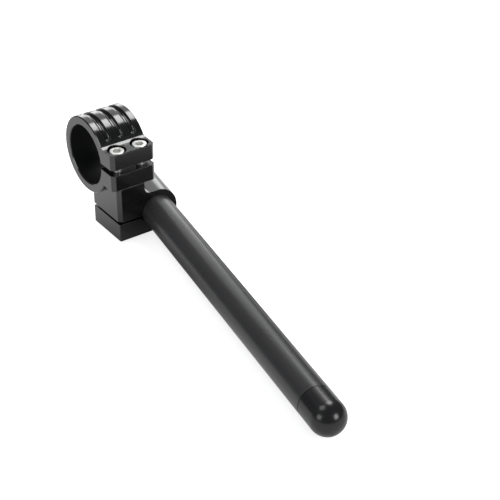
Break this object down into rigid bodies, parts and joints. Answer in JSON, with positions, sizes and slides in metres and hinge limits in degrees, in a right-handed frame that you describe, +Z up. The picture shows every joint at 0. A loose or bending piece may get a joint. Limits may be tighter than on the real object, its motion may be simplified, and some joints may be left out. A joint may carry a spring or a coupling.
{
  "type": "raised clip-on handlebar",
  "caption": "Left raised clip-on handlebar: split fork clamp with grooved ring, riser neck, pinched bar socket, straight bar and domed end plug.",
  "frame": {"origin": "middle of the fork clamp's bore, half way along the ring", "axes": "+X along the fork tube away from the side that the bar leans to, -Y from the fork tube towards the lugs and the bar's end, +Z up along the fork pinch bolts"},
  "size_m": [0.0716, 0.3102, 0.0776],
  "materials": {
    "anodised_body": "gloss black anodised",
    "anodised_tube": "satin black anodised",
    "bolt_steel": "bright zinc",
    "plug_gloss": "gloss black"
  },
  "bodies": {
    "root": {"clamp_body": "anodised_body", "fork_pinch_bolts": "bolt_steel", "bar_pinch_bolts": "bolt_steel", "bar_tube": "anodised_tube", "end_plug": "plug_gloss"}
  },
  "joints": []
}
